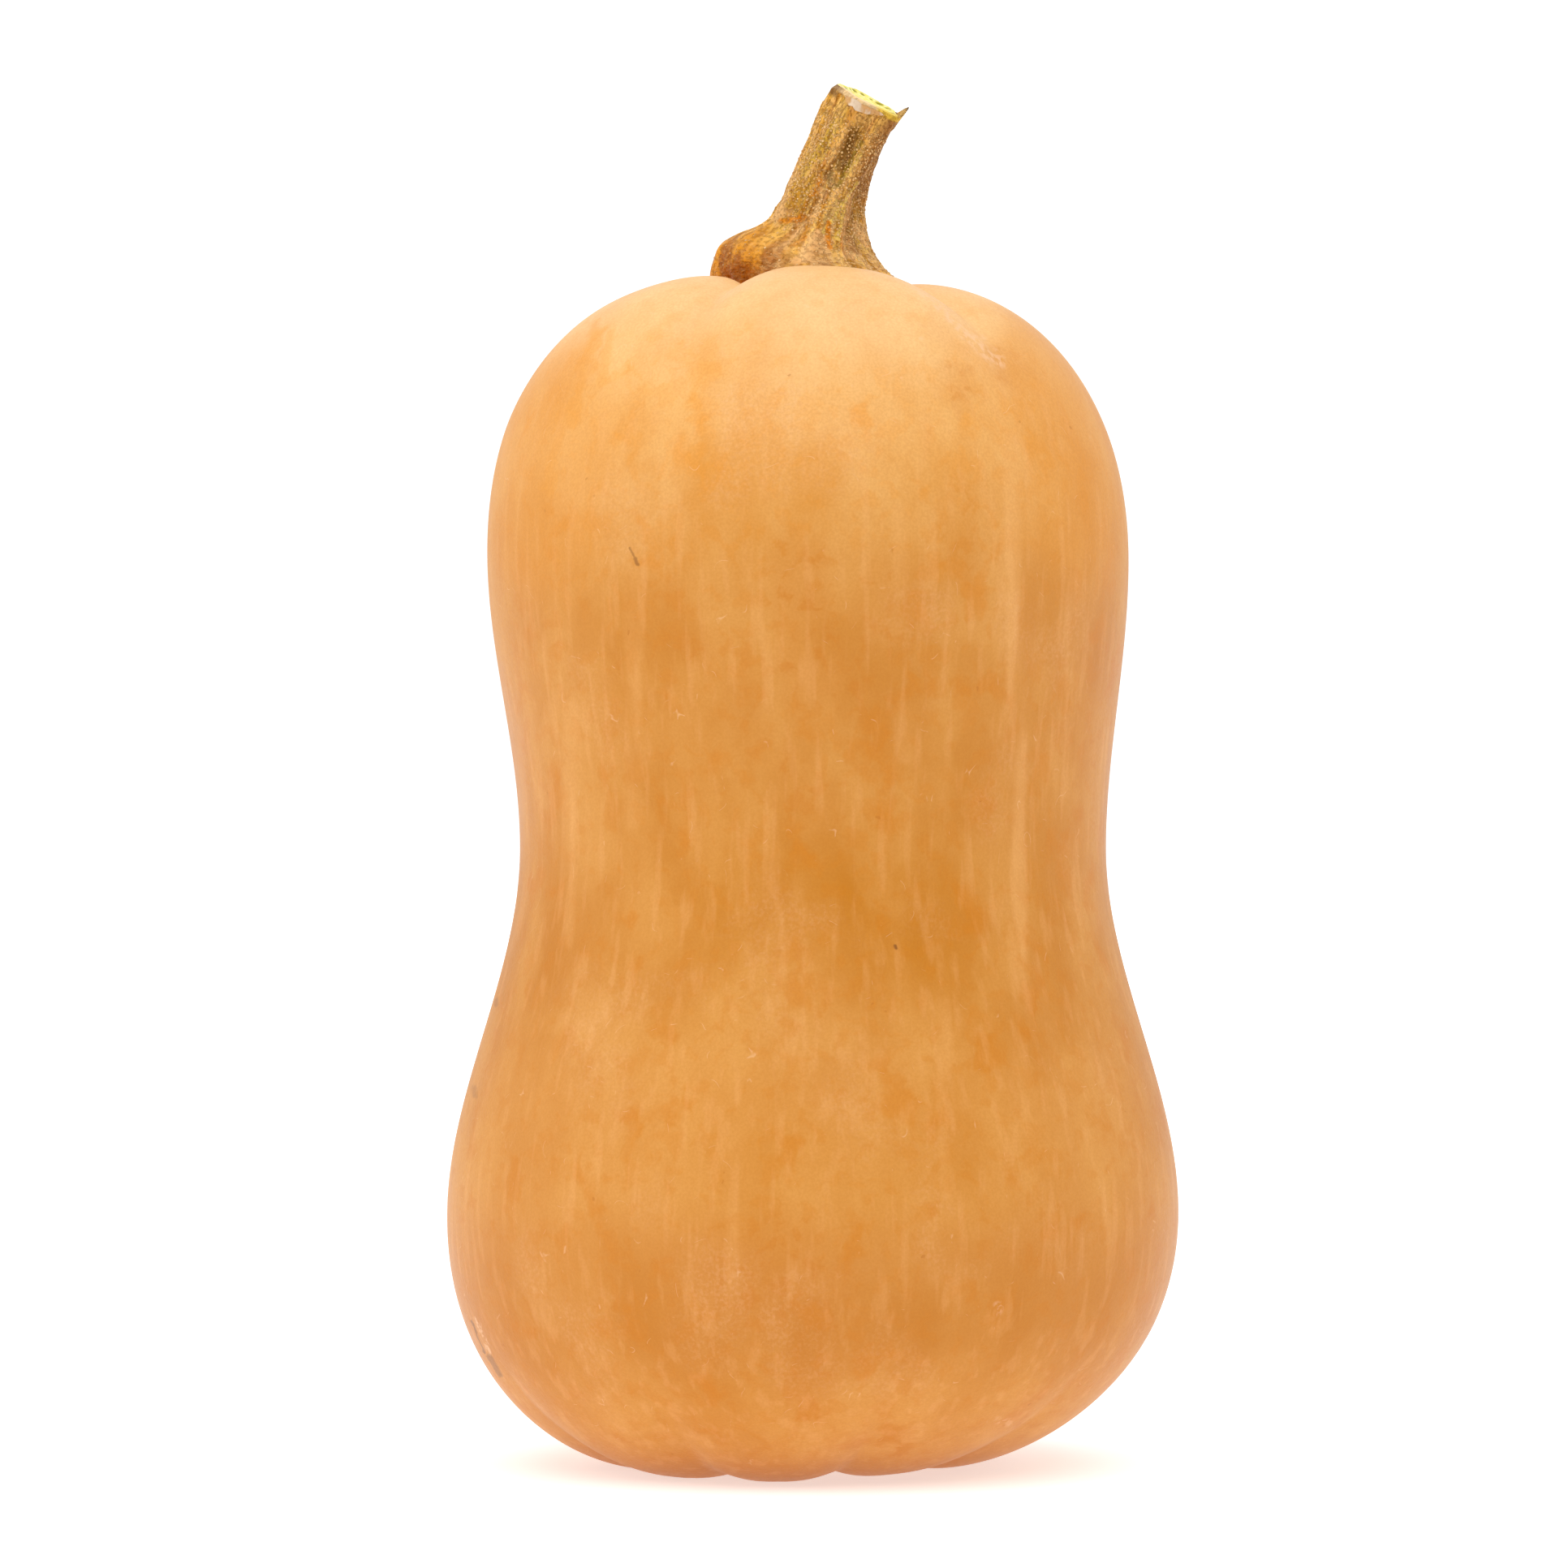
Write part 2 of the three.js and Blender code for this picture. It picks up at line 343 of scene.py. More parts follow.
def fruit_outline():
    """The outline from the blossom scar round the bulb to the seat, with the fruit's lean in Y."""
    curve = bpy.data.curves.new("outline", "CURVE")
    curve.dimensions = "3D"
    curve.resolution_u = OUTLINE_STEPS
    points = curve.splines.new("BEZIER").bezier_points
    points.add(len(FRUIT) - 1)
    places = [Vector((radius, LEAN[part], height)) * MM for part, (radius, height) in FRUIT.items()]
    for step, part in enumerate(FRUIT):
        point = points[step]
        point.handle_left_type = point.handle_right_type = "FREE"
        point.co = point.handle_left = point.handle_right = places[step]
        for handle, reach, side in (("handle_left", REACH_BACK, -1), ("handle_right", REACH_AHEAD, 1)):
            if part in reach:
                gap = places[step + side] - places[step]
                share = reach[part]
                setattr(point, handle, places[step] + Vector((gap.x * share[0], 0, gap.z * share[1])))
    outline = bpy.data.objects.new("outline", curve)
    bpy.context.collection.objects.link(outline)
    return outline


def paint(red, green, blue):
    """A colour from its screen values of 0 to 255."""
    def linear(value):
        share = value / 255
        return share / 12.92 if share <= 0.04045 else ((share + 0.055) / 1.055) ** 2.4
    return (linear(red), linear(green), linear(blue), 1)


def blended(share, first, second):
    """The first colour where share is 0 and the second where it is 1."""
    node = placed(share.socket.id_data, "ShaderNodeMix", {"data_type": "RGBA"}, Factor=share)
    feed(with_identifier(node.inputs, "A_Color"), first)
    feed(with_identifier(node.inputs, "B_Color"), second)
    return with_identifier(node.outputs, "Result_Color")


def layered(colour, layers):
    """The colour under layers of others. A layer is how much of it shows, and its colour."""
    for share, layer in layers:
        colour = blended(share, colour, layer)
    return colour


def new_material(name, roughness, gloss=0.5):
    """A material, its tree and its Principled shader."""
    material = bpy.data.materials.new(name)
    material.use_nodes = True
    tree = material.node_tree
    shader = tree.nodes["Principled BSDF"]
    shader.inputs["Roughness"].default_value = roughness
    shader.inputs["Specular IOR Level"].default_value = gloss
    return material, tree, shader


def roughen(shader, height, strength, depth):
    """Raises the surface a little where height is more, as seen by the light."""
    bump = placed(shader.id_data, "ShaderNodeBump", Strength=strength, Distance=depth, Height=height)
    feed(shader.inputs["Normal"], bump.outputs["Normal"])


def mottling_group():
    """Cloudy patches: noise with a stretch, a scale and its own low and high cut."""
    inputs = {
        "Place": ("NodeSocketVector", None),
        "Stretch": ("NodeSocketVector", (1, 1, 1)),
        "Scale": ("NodeSocketFloat", 50),
        "Detail": ("NodeSocketFloat", 3),
        "Low": ("NodeSocketFloat", 0.35),
        "High": ("NodeSocketFloat", 0.65),
    }
    tree, given, made = new_group("mottling", "ShaderNodeTree", inputs, {"Mask": "NodeSocketFloat"})
    stretched = vector_math("MULTIPLY", given["Place"], given["Stretch"])
    clouds = placed(
        tree, "ShaderNodeTexNoise", Vector=stretched, Scale=given["Scale"], Detail=given["Detail"],
    )
    feed(made["Mask"], Field(clouds.outputs["Fac"]).step(given["Low"], given["High"]))
    return tree


def soft_mark_group():
    """A soft patch or line between two places on the front. It fades out towards the back."""
    inputs = {
        "Place": ("NodeSocketVector", None),
        "Start": ("NodeSocketVector", None),
        "End": ("NodeSocketVector", None),
        "Width": ("NodeSocketFloat", 0.001),
        "Fade": ("NodeSocketFloat", 0.001),
    }
    tree, given, made = new_group("soft_mark", "ShaderNodeTree", inputs, {"Mask": "NodeSocketFloat"})
    flat = vector_math("MULTIPLY", given["Place"], (1, 0, 1))
    run = vector_math("SUBTRACT", given["End"], given["Start"])
    offset = vector_math("SUBTRACT", flat, given["Start"])
    length_squared = Field(vector_math("DOT_PRODUCT", run, run))
    along = Field(vector_math("DOT_PRODUCT", offset, run)) / length_squared
    along = along.math("MAXIMUM", 0.0).math("MINIMUM", 1.0)
    across = vector_math("SUBTRACT", offset, scaled(run, along))
    distance = Field(vector_math("LENGTH", across))
    width = Field(given["Width"])
    fade = Field(given["Fade"])
    front = parts_of(given["Place"])[1].step(fade * -1, fade).flipped()
    feed(made["Mask"], distance.step(width * 0.25, width).flipped() * front)
    return tree


def specks_group():
    """Small round dots, one to a cell, in a share of the cells."""
    inputs = {
        "Place": ("NodeSocketVector", None),
        "Spacing": ("NodeSocketFloat", 0.01),
        "Radius": ("NodeSocketFloat", 0.0003),
        "Share": ("NodeSocketFloat", 0.5),
    }
    tree, given, made = new_group("specks", "ShaderNodeTree", inputs, {"Mask": "NodeSocketFloat"})
    spacing = Field(given["Spacing"])
    cells = placed(tree, "ShaderNodeTexVoronoi", Vector=given["Place"], Scale=spacing ** -1.0)
    chosen, size = parts_of(cells.outputs["Color"])[:2]
    radius = Field(given["Radius"]) / spacing * (size * 0.7 + 0.5)
    dot = Field(cells.outputs["Distance"]).step(radius * 0.5, radius).flipped()
    feed(made["Mask"], dot * chosen.math("LESS_THAN", given["Share"]))
    return tree


mottling = mottling_group()
soft_mark = soft_mark_group()
specks = specks_group()


def masked(place, group, **inputs):
    """The mask that one of the three groups makes at a place."""
    node = placed(place.id_data, "ShaderNodeGroup", {"node_tree": group}, Place=place, **inputs)
    return Field(node.outputs["Mask"])


def mottled(place, scale, low, high, stretch=(1, 1, 1), detail=3.0):
    return masked(place, mottling, Scale=scale, Low=low, High=high, Stretch=stretch, Detail=detail)


def marks_mask(place, marks, fade=22 * MM):
    """One mask for a list of marks. They fade out over this depth on both sides of the middle."""
    mask = None
    for *ends, width, strength in marks:
        start, end = [(across * MM, 0, up * MM) for across, up in ends]
        mark = masked(place, soft_mark, Start=start, End=end, Width=width * MM, Fade=fade) * strength
        mask = mark if mask is None else mask.math("MAXIMUM", mark)
    return mask


def wobbled(place, scale, distance):
    """The place, pushed about by noise."""
    push = placed(place.id_data, "ShaderNodeTexNoise", Vector=place, Scale=scale, Detail=3.0)
    centred = vector_math("SUBTRACT", push.outputs["Color"], (0.5, 0.5, 0.5))
    return vector_math("ADD", place, scaled(centred, distance))


def attribute(tree, name):
    return Field(placed(tree, "ShaderNodeAttribute", {"attribute_name": name}).outputs["Fac"])


def scratches(place, scale, width):
    """Thin curved lines where noise crosses its middle, broken up by finer noise."""
    waves = placed(place.id_data, "ShaderNodeTexNoise", Vector=place, Scale=scale, Detail=1.0)
    line = abs(Field(waves.outputs["Fac"]) - 0.5).step(0.0, width).flipped()
    return line * mottled(place, scale=scale * 2.5, low=0.58, high=0.66)


# Marks on the front of the fruit: two places in mm across and up, the half width, and how strong.
DEEP_PATCHES = [
    ((3.6, 134), (9, 131), 8, 0.6),
    ((-4, 150), (2, 134), 9, 1.0),
    ((14, 150), (10, 140), 7, 0.6),
    ((-2, 118), (0, 112), 7, 0.6),
    ((-1, 86), (0, 80), 7, 0.5),
    ((-14, 36), (0, 32), 9, 1.0),
    ((-12, 41), (-4.9, 40.8), 9, 0.7),
    ((-20, 38), (-24, 34), 6, 0.4),
    ((-0.3, 19.4), (2, 24), 8, 0.6),
    ((24, 161), (24.5, 150), 5, 0.5),
    ((42.6, 159), (41, 150), 6, 0.6),
    ((47, 140), (46, 120), 4, 0.4),
    ((-9.5, 124.3), (-12, 130), 6, 0.4),
    ((-26, 147), (-14, 136), 5, 0.45),
    ((37.9, 46.5), (36, 40), 5, 0.5),
    ((-44, 160), (-46, 140), 6, 0.35),
    ((23.7, 184.3), (24.5, 179), 3.5, 0.7),
    ((31.3, 187.5), (34, 184), 4, 0.6),
]
ORANGE_STREAKS = [
    ((-36, 192), (-39.7, 175), 1.8, 0.8),
    ((-33, 190), (-34.5, 182), 1.6, 0.6),
    ((-41, 178), (-44, 164), 1.8, 0.5),
]
SIDE_PATCHES = [
    ((40, 188), (43, 160), 16, 1.0),
    ((-43, 178), (-45, 158), 16, 0.8),
]
PALE_STREAKS = [
    ((32.3, 172), (33.2, 124), 2.2, 0.6),
    ((33.2, 124), (33.8, 60), 2.4, 0.6),
    ((14, 160), (15, 120), 2, 0.45),
    ((21, 80), (21.5, 50), 2, 0.4),
    ((-29, 150), (-30, 110), 2.4, 0.4),
    ((-40, 128), (-41, 90), 2.2, 0.4),
    ((-13, 60), (-13.5, 30), 2, 0.4),
]
# Pale patches of waxy bloom that are also painted highlights: the upper ones where the overhead light
# reflects, the lower ones where the floor reflects.
BLOOM_AND_HIGHLIGHT_PATCHES = [
    ((-4.9, 176), (-6, 167), 8, 0.45),
    ((-12, 177), (-14, 164), 7, 0.5),
    ((6, 171), (2, 168), 7, 0.3),
    ((-16, 36), (-18, 27), 9, 0.3),
    ((-4, 31), (-2, 22), 8, 0.3),
]
SCUFFS = [
    ((14.5, 199.5), (18.5, 196.5), 0.8, 0.4),
    ((16.7, 198), (21.3, 193.6), 1, 0.6),
    ((20.3, 194.6), (22.9, 194), 0.5, 0.6),
    ((21.3, 193.6), (24.5, 190.1), 1.2, 0.7),
    ((24.5, 190.1), (27.9, 187.4), 1.4, 0.7),
    ((26.5, 189.4), (29, 189.6), 0.6, 0.5),
    ((27.9, 187.4), (30.5, 185.5), 2, 0.7),
    ((-56.2, 26.3), (-53.8, 20.6), 0.7, 0.7),
    ((29.9, 30.4), (29.9, 31), 1.2, 0.5),
    ((30.4, 10.9), (32.2, 10.4), 1.2, 0.4),
]
NICKS = [
    ((-29.8, 154), (-29.1, 152.4), 0.3, 0.5),
    ((-29.1, 152.4), (-28.6, 151.4), 0.5, 0.6),
    ((13.1, 89.4), (13.2, 89.1), 0.45, 0.8),
    ((-56.6, 64.6), (-56.6, 63.6), 0.9, 0.3),
    ((-53.2, 79.3), (-53.1, 78.6), 0.6, 0.4),
    ((-57.1, 25.8), (-54.9, 20.4), 0.3, 0.7),
    ((-54, 19.9), (-52.2, 16.8), 0.8, 0.55),
]

# The skin's colours, from the ground colour to the smallest marks.
TAN = paint(192, 121, 34)
PALE_TAN = paint(210, 147, 70)
BULB_TAN = paint(222, 158, 84)
SHOULDER_GOLD = paint(224, 155, 72)
PALE_GOLD = paint(238, 185, 115)
# Painted highlight: the crown is paler cream where the overhead light falls on it.
CROWN_HIGHLIGHT_CREAM = paint(248, 204, 146)
# Painted light: the lowest part of the skin is paler, standing in for light thrown up from the floor.
PAINTED_BOUNCE_GOLD = paint(232, 164, 80)
BELT_BROWN = paint(188, 112, 24)
# Painted shade: a darker brown along the bottom edge, where the underside turns away from the light.
UNDERSIDE_SHADE_BROWN = paint(190, 110, 30)
LOW_PATCH = paint(200, 119, 17)
HIGH_PATCH = paint(232, 154, 56)
DEEP_TAN = paint(194, 116, 28)
STREAK_ORANGE = paint(230, 152, 46)
SIDE_ORANGE = paint(216, 140, 44)
STREAK_CREAM = paint(229, 168, 98)
FIBRE_CREAM = paint(232, 170, 104)
# Waxy bloom, also used for painted highlights.
BLOOM_AND_HIGHLIGHT_CREAM = paint(236, 184, 132)
PORE_BROWN = paint(178, 102, 26)
# Painted shade: darker tans in the shoulder grooves and in the creases of the base.
GROOVE_SHADE_TAN = paint(205, 130, 50)
CREASE_SHADE_TAN = paint(190, 115, 44)
SCUFF_CREAM = paint(240, 194, 152)
SCRATCH_CREAM = paint(240, 196, 150)
DOT_BROWN = paint(176, 98, 26)
NICK_BROWN = paint(125, 74, 32)
SCAR_BROWN = paint(140, 98, 58)


def skin_material():
    """Waxy tan rind with cloudy patches, upright streaks, fine pale grain and a few scars."""
    material, tree, shader = new_material("skin", roughness=0.42, gloss=0.2)
    place = tree.nodes.new("ShaderNodeTexCoord").outputs["Object"]
    height = parts_of(place)[2]
    cloudy = wobbled(place, scale=70, distance=12 * MM)
    ragged = wobbled(place, scale=220, distance=6 * MM)
    nearby = wobbled(place, scale=500, distance=1.2 * MM)

    top = height.step(135 * MM, 186 * MM)
    crown = height.step(176 * MM, 200 * MM)
    bulb = height.step(26 * MM, 44 * MM) * height.step(62 * MM, 84 * MM).flipped()
    belt = height.step(12 * MM, 26 * MM) * height.step(38 * MM, 50 * MM).flipped()
    # Painted light: where the skin is made paler, as if by light thrown up from the floor.
    bounce_lit_bottom = height.step(0.0, 28 * MM).flipped()
    # Painted shade: the lowest 8 mm, darker where the underside gets less light.
    underside_shade = height.step(0.0, 8 * MM).flipped()

    broad = mottled(place, scale=26, low=0.36, high=0.64)
    streaks = mottled(place, scale=130, low=0.36, high=0.66, stretch=(1, 1, 0.12), detail=4.0)
    clouds = mottled(ragged, scale=75, low=0.36, high=0.66, stretch=(1, 1, 0.6), detail=4.0)
    tone = broad * 0.25 + streaks * 0.2 + clouds * 0.55
    patches = mottled(ragged, scale=130, low=0.54, high=0.7, stretch=(1, 1, 0.8), detail=4.0)
    small_clouds = mottled(ragged, scale=320, low=0.5, high=0.66)
    drifts = mottled(ragged, scale=45, low=0.52, high=0.74, detail=4.0)
    fibres = mottled(place, scale=420, low=0.5, high=0.7, stretch=(1, 1, 0.14))
    grain = mottled(place, scale=1500, low=0.42, high=0.68, detail=2.0)
    pores = mottled(place, scale=2400, low=0.3, high=0.7, detail=2.0)
    flaking = mottled(nearby, scale=800, low=0.44, high=0.58, detail=4.0)
    lines = scratches(place, scale=150, width=0.006)
    dots = masked(ragged, specks, Spacing=8 * MM, Radius=0.5 * MM, Share=0.6)

    deep = marks_mask(cloudy, DEEP_PATCHES) * (small_clouds * 0.5 + clouds * 0.3 + 0.2)
    # Waxy bloom and painted highlights, with faint drifts of bloom all over.
    bloom_and_highlight = (marks_mask(cloudy, BLOOM_AND_HIGHLIGHT_PATCHES) * (clouds * 0.5 + 0.5)).math("MAXIMUM", drifts * 0.3)
    top_colour = blended(tone, SHOULDER_GOLD, PALE_GOLD)
    patch_colour = blended(top, LOW_PATCH, HIGH_PATCH)
    colour = layered(TAN, [
        (tone, PALE_TAN),
        (bulb * 0.3, BULB_TAN),
        (top, top_colour),
        # painted highlight: paler cream on the crown
        (crown * 0.65, CROWN_HIGHLIGHT_CREAM),
        # painted bounce light from the floor, paler low down
        (bounce_lit_bottom * 0.3, PAINTED_BOUNCE_GOLD),
        (belt * 0.35, BELT_BROWN),
        # painted shade along the bottom edge
        (underside_shade * 0.6, UNDERSIDE_SHADE_BROWN),
        (patches * (crown * -0.35 + 0.5), patch_colour),
        (small_clouds * (crown * -0.15 + 0.25), patch_colour),
        (deep * 0.6, DEEP_TAN),
        (marks_mask(ragged, ORANGE_STREAKS) * 0.5, STREAK_ORANGE),
        (marks_mask(cloudy, SIDE_PATCHES) * 0.5, SIDE_ORANGE),
        (marks_mask(nearby, PALE_STREAKS) * streaks * 0.8, STREAK_CREAM),
        (fibres * 0.22, FIBRE_CREAM),
        # waxy bloom and painted highlights, grainy
        (bloom_and_highlight * (grain * 0.5 + 0.25), BLOOM_AND_HIGHLIGHT_CREAM),
        (pores * 0.16, PORE_BROWN),
        # painted shade in the shoulder grooves and the base creases
        (attribute(tree, "groove") * 0.2, GROOVE_SHADE_TAN),
        (attribute(tree, "crease") * 0.25, CREASE_SHADE_TAN),
        (marks_mask(nearby, SCUFFS) * flaking * 0.7, SCUFF_CREAM),
        (lines * 0.32, SCRATCH_CREAM),
        (dots * 0.4, DOT_BROWN),
        (marks_mask(nearby, NICKS), NICK_BROWN),
        (attribute(tree, "scar"), SCAR_BROWN),
    ])
    feed(shader.inputs["Base Color"], colour)
    feed(shader.inputs["Roughness"], grain * 0.05 + clouds * 0.04 + 0.38)
    roughen(shader, pores * 0.25 + grain * 0.5 - lines, strength=0.35, depth=0.05 * MM)
    return material


outline = fruit_outline()
fruit = grown(outline, "fruit_skin", fruit_tree(), {**fruit_sizes, "Skin": skin_material()})
bpy.data.objects.remove(outline)
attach(fruit, "root")
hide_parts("fruit")


# The stem is the dried stalk that the fruit hung from. It is woody and ribbed,
# rough with tiny corky warts, spreads into a swollen collar where it grips the
# fruit, and was cut at the top, which tore a strip of its skin.

# Sizes are in mm and angles in radians. Angles run from the front towards the right.
STEM_RINGS = 260
STEM_SEGMENTS = 240
CUT_RINGS = 16
SEAT_GAP = 0.3
STEM_AXIS_STEPS = 200
STEM_RIBS = 5
STEM_RIB_HEIGHT = 0.6
STEM_RIB_START = math.radians(50)
STEM_RIB_TWIST = math.radians(128)
COLLAR_HEIGHT = 14
COLLAR_FADE = (0.7 * COLLAR_HEIGHT, 1.3 * COLLAR_HEIGHT)
CUSHION_ANGLE = math.radians(-75)
BUTTRESSES = 15
BUTTRESS_HEIGHT = 0.5
BUTTRESS_LEFT_ON_CUSHION = 0.3
WRINKLE_DEPTH = 0.24
FINE_WRINKLE_DEPTH = 0.14
LUMP_HEIGHT = 0.12
COLLAR_FOLD_DEPTH = 0.35
COLLAR_LUMP_HEIGHT = 0.3
BARK_THICKNESS = 0.3
CUT_CHAMFER = 0.6
CUT_DISH = 0.4
CUT_ROUGHNESS = 0.12
TORN_LIP_ANGLE = math.radians(84)
TORN_LIP_WIDTH = math.radians(19)
TORN_LIP_LENGTH = 2.5
TORN_FLARE = 0.6
END_LENGTH = 4
END_RAGGEDNESS = 0.25
WORN_CORNER_ANGLE = math.radians(-84)
WORN_CORNER_WIDTH = math.radians(38)
WORN_CORNER_DEPTH = 0.8
WORN_CORNER_INSET = 0.35
BUNDLES = 17
BUNDLE_RING = 0.78
BUNDLE_RADIUS = 0.6
BUNDLE_DEPTH = 0.3
BULB_EDGE_ANGLE = math.radians(-16)
BULB_EDGE_WIDTH = math.radians(9)
BULB_EDGE_DEPTH = 0.45
GRAIN_RADIUS = 6.5
# The stem's radius at distances from its seat: its shaft, and the two sides of its collar.
SHAFT = [(20.5, 6.2), (27, 5.8), (40, 6.2)]
CUSHION = [
    (0, 12.8), (3, 15.3), (5.5, 15.3), (7.5, 14.2), (9.1, 12.3), (10.4, 10), (11.8, 8.4), (14, 7.4), *SHAFT,
]
BUTTRESS = [(0, 14), (4, 15.9), (7, 14.6), (9, 12.4), (11, 10.4), (13.5, 8.7), (17, 7.2), *SHAFT]
stem_foot = Vector((LEAN["middle"] - BOX_MIDDLE[0], -BOX_MIDDLE[1], FRUIT["seat"][1] + SEAT_GAP))
stem_axis = geometry.interpolate_bezier(
    stem_foot, stem_foot + Vector((0, 0, 9)), stem_foot + Vector((4.5, -2, 21.6)),
    stem_foot + Vector((10.8, -4.7, 33.4)), STEM_AXIS_STEPS,
)
stem_marks = [0]
for before, after in zip(stem_axis, stem_axis[1:]):
    stem_marks.append(stem_marks[-1] + (after - before).length)
stem_length = stem_marks[-1]


def smoothstep(value, low, high):
    share = min(1, max(0, (value - low) / (high - low)))
    return share * share * (3 - 2 * share)


def curve_at(pairs, place):
    """A smooth value between pairs of place and value."""
    step = max(1, min(len(pairs) - 1, sum(pair[0] <= place for pair in pairs)))
    (low, start), (high, end) = pairs[step - 1], pairs[step]
    before = pairs[max(0, step - 2)]
    after = pairs[min(len(pairs) - 1, step + 1)]
    share = min(1, max(0, (place - low) / (high - low)))
    leaving = (end - before[1]) / (high - before[0]) * (high - low)
    arriving = (after[1] - start) / (after[0] - low) * (high - low)
    squared, cubed = share ** 2, share ** 3
    return (
        (2 * cubed - 3 * squared + 1) * start + (cubed - 2 * squared + share) * leaving
        + (3 * squared - 2 * cubed) * end + (cubed - squared) * arriving
    )


def stem_frame(distance):
    """The middle of the stem at a distance from its seat, with its right, back and up directions."""
    step = min(len(stem_axis) - 2, bisect.bisect_right(stem_marks, distance) - 1)
    share = (distance - stem_marks[step]) / (stem_marks[step + 1] - stem_marks[step])
    middle = stem_axis[step].lerp(stem_axis[step + 1], share)
    up = (stem_axis[min(len(stem_axis) - 1, step + 2)] - stem_axis[max(0, step - 1)]).normalized()
    right = (Vector((1, 0, 0)) - up * up.x).normalized()
    return middle, right, up.cross(right), up


def stem_place(distance, angle, radius, rise=0):
    """A place round the stem, in metres."""
    middle, right, back, up = stem_frame(distance)
    return (middle + right * (math.sin(angle) * radius) - back * (math.cos(angle) * radius) + up * rise) * MM


def grain_place(distance, angle):
    """A place on the bark as if the stem were a straight upright rod, so that streaks follow it."""
    return (GRAIN_RADIUS * math.sin(angle) * MM, -GRAIN_RADIUS * math.cos(angle) * MM, distance * MM)


def stem_ribs(distance, angle):
    """From -1 in the valleys to 1 on the ribs."""
    return math.cos(STEM_RIBS * angle + STEM_RIB_START - STEM_RIB_TWIST * distance / COLLAR_HEIGHT)


def plumpness(angle):
    """1 on the left, where the collar is a cushion, and 0 on the right, where it is buttresses."""
    return smoothstep(math.cos(angle - CUSHION_ANGLE), -0.6, 0.7)


def collar_share(distance):
    """1 on the collar and 0 on the shaft."""
    return 1 - smoothstep(distance, *COLLAR_FADE)


def nearness(angle, middle, width):
    """1 at the middle angle, fading to 0 on both sides of it."""
    return math.exp(-((math.remainder(angle - middle, 2 * math.pi) / width) ** 2))


def lip(angle):
    return nearness(angle, TORN_LIP_ANGLE, TORN_LIP_WIDTH)


def worn_corner(angle):
    return nearness(angle, WORN_CORNER_ANGLE, WORN_CORNER_WIDTH)


def stem_radius(distance, angle):
    """The stem's radius with its ribs and buttresses, but without the roughness of its bark."""
    plump = plumpness(angle)
    smooth = curve_at(BUTTRESS, distance) * (1 - plump) + curve_at(CUSHION, distance) * plump
    standing_out = 1 - (1 - BUTTRESS_LEFT_ON_CUSHION) * plump
    buttresses = BUTTRESS_HEIGHT * collar_share(distance) * math.cos(BUTTRESSES * angle) * standing_out
    at_end = smoothstep(distance, stem_length - END_LENGTH, stem_length)
    end_shape = at_end * (TORN_FLARE * lip(angle) - WORN_CORNER_INSET * worn_corner(angle))
    return smooth + STEM_RIB_HEIGHT * stem_ribs(distance, angle) + buttresses + end_shape


def creases(place):
    """Noise with sharp crests and smooth hollows, about as much in as out."""
    return 0.5 - 2 * abs(noise.noise(place))


def bark_relief(distance, angle):
    """Wrinkles that run along the stem, coarser folds on the collar, and lumps, in mm."""
    around = Vector((math.sin(angle), -math.cos(angle), 0))
    rise = Vector((0, 0, distance))
    wrinkles = creases(around * 7 + rise / 8)
    fine_wrinkles = creases(around * 16 + rise / 4)
    folds = creases(around * 9 + rise / 12 + Vector((7, 3, 0)))
    lumps = noise.noise(around * 4 + rise / 2.5)
    bulb_edge = BULB_EDGE_DEPTH * nearness(angle, BULB_EDGE_ANGLE, BULB_EDGE_WIDTH)
    shaft_relief = WRINKLE_DEPTH * wrinkles + FINE_WRINKLE_DEPTH * fine_wrinkles + LUMP_HEIGHT * lumps
    collar_relief = COLLAR_FOLD_DEPTH * folds + COLLAR_LUMP_HEIGHT * lumps - bulb_edge
    return smoothstep(distance, 0, 2) * (shaft_relief + collar_share(distance) * collar_relief)


def bark_end(angle):
    """How far up the stem the bark reaches. It is ragged, and worn down at its left corner."""
    ragged = END_RAGGEDNESS * noise.noise(Vector((math.sin(angle), math.cos(angle), 2)) * 5)
    return stem_length + ragged - WORN_CORNER_DEPTH * worn_corner(angle)


def bark_point(ring, angle):
    """A point of the bark and what its material reads there. The last ring is the torn rim."""
    on_rim = ring == STEM_RINGS + 1
    distance = bark_end(angle) * min(1, ring / STEM_RINGS)
    plump = plumpness(angle)
    low = collar_share(distance)
    rough = bark_relief(distance, angle)
    radius = stem_radius(distance, angle) + rough + on_rim * CUT_CHAMFER * lip(angle)
    rise = on_rim * (CUT_DISH + TORN_LIP_LENGTH * lip(angle))
    # The buttresses' fan pattern, which only feeds the painted shade in the bark's colour.
    buttress_shade = low * 0.4 * (1 - plump) * math.cos(BUTTRESSES * angle)
    above_seat = smoothstep(distance, 0.5, 3)
    below_cut = 1 - smoothstep(distance, stem_length - 5, stem_length - 2)
    return {
        "place": stem_place(distance, angle, radius, rise),
        "grain": grain_place(distance + rise, angle),
        # The relief repeats the ribs and the buttresses for the material's painted shade in valleys and
        # folds.
        "relief": rough + 0.3 * stem_ribs(distance, angle) + buttress_shade,
        "warty": above_seat * below_cut * (1 - 0.9 * low * plump),
        "pit": 0,
        "rind": 1,
    }


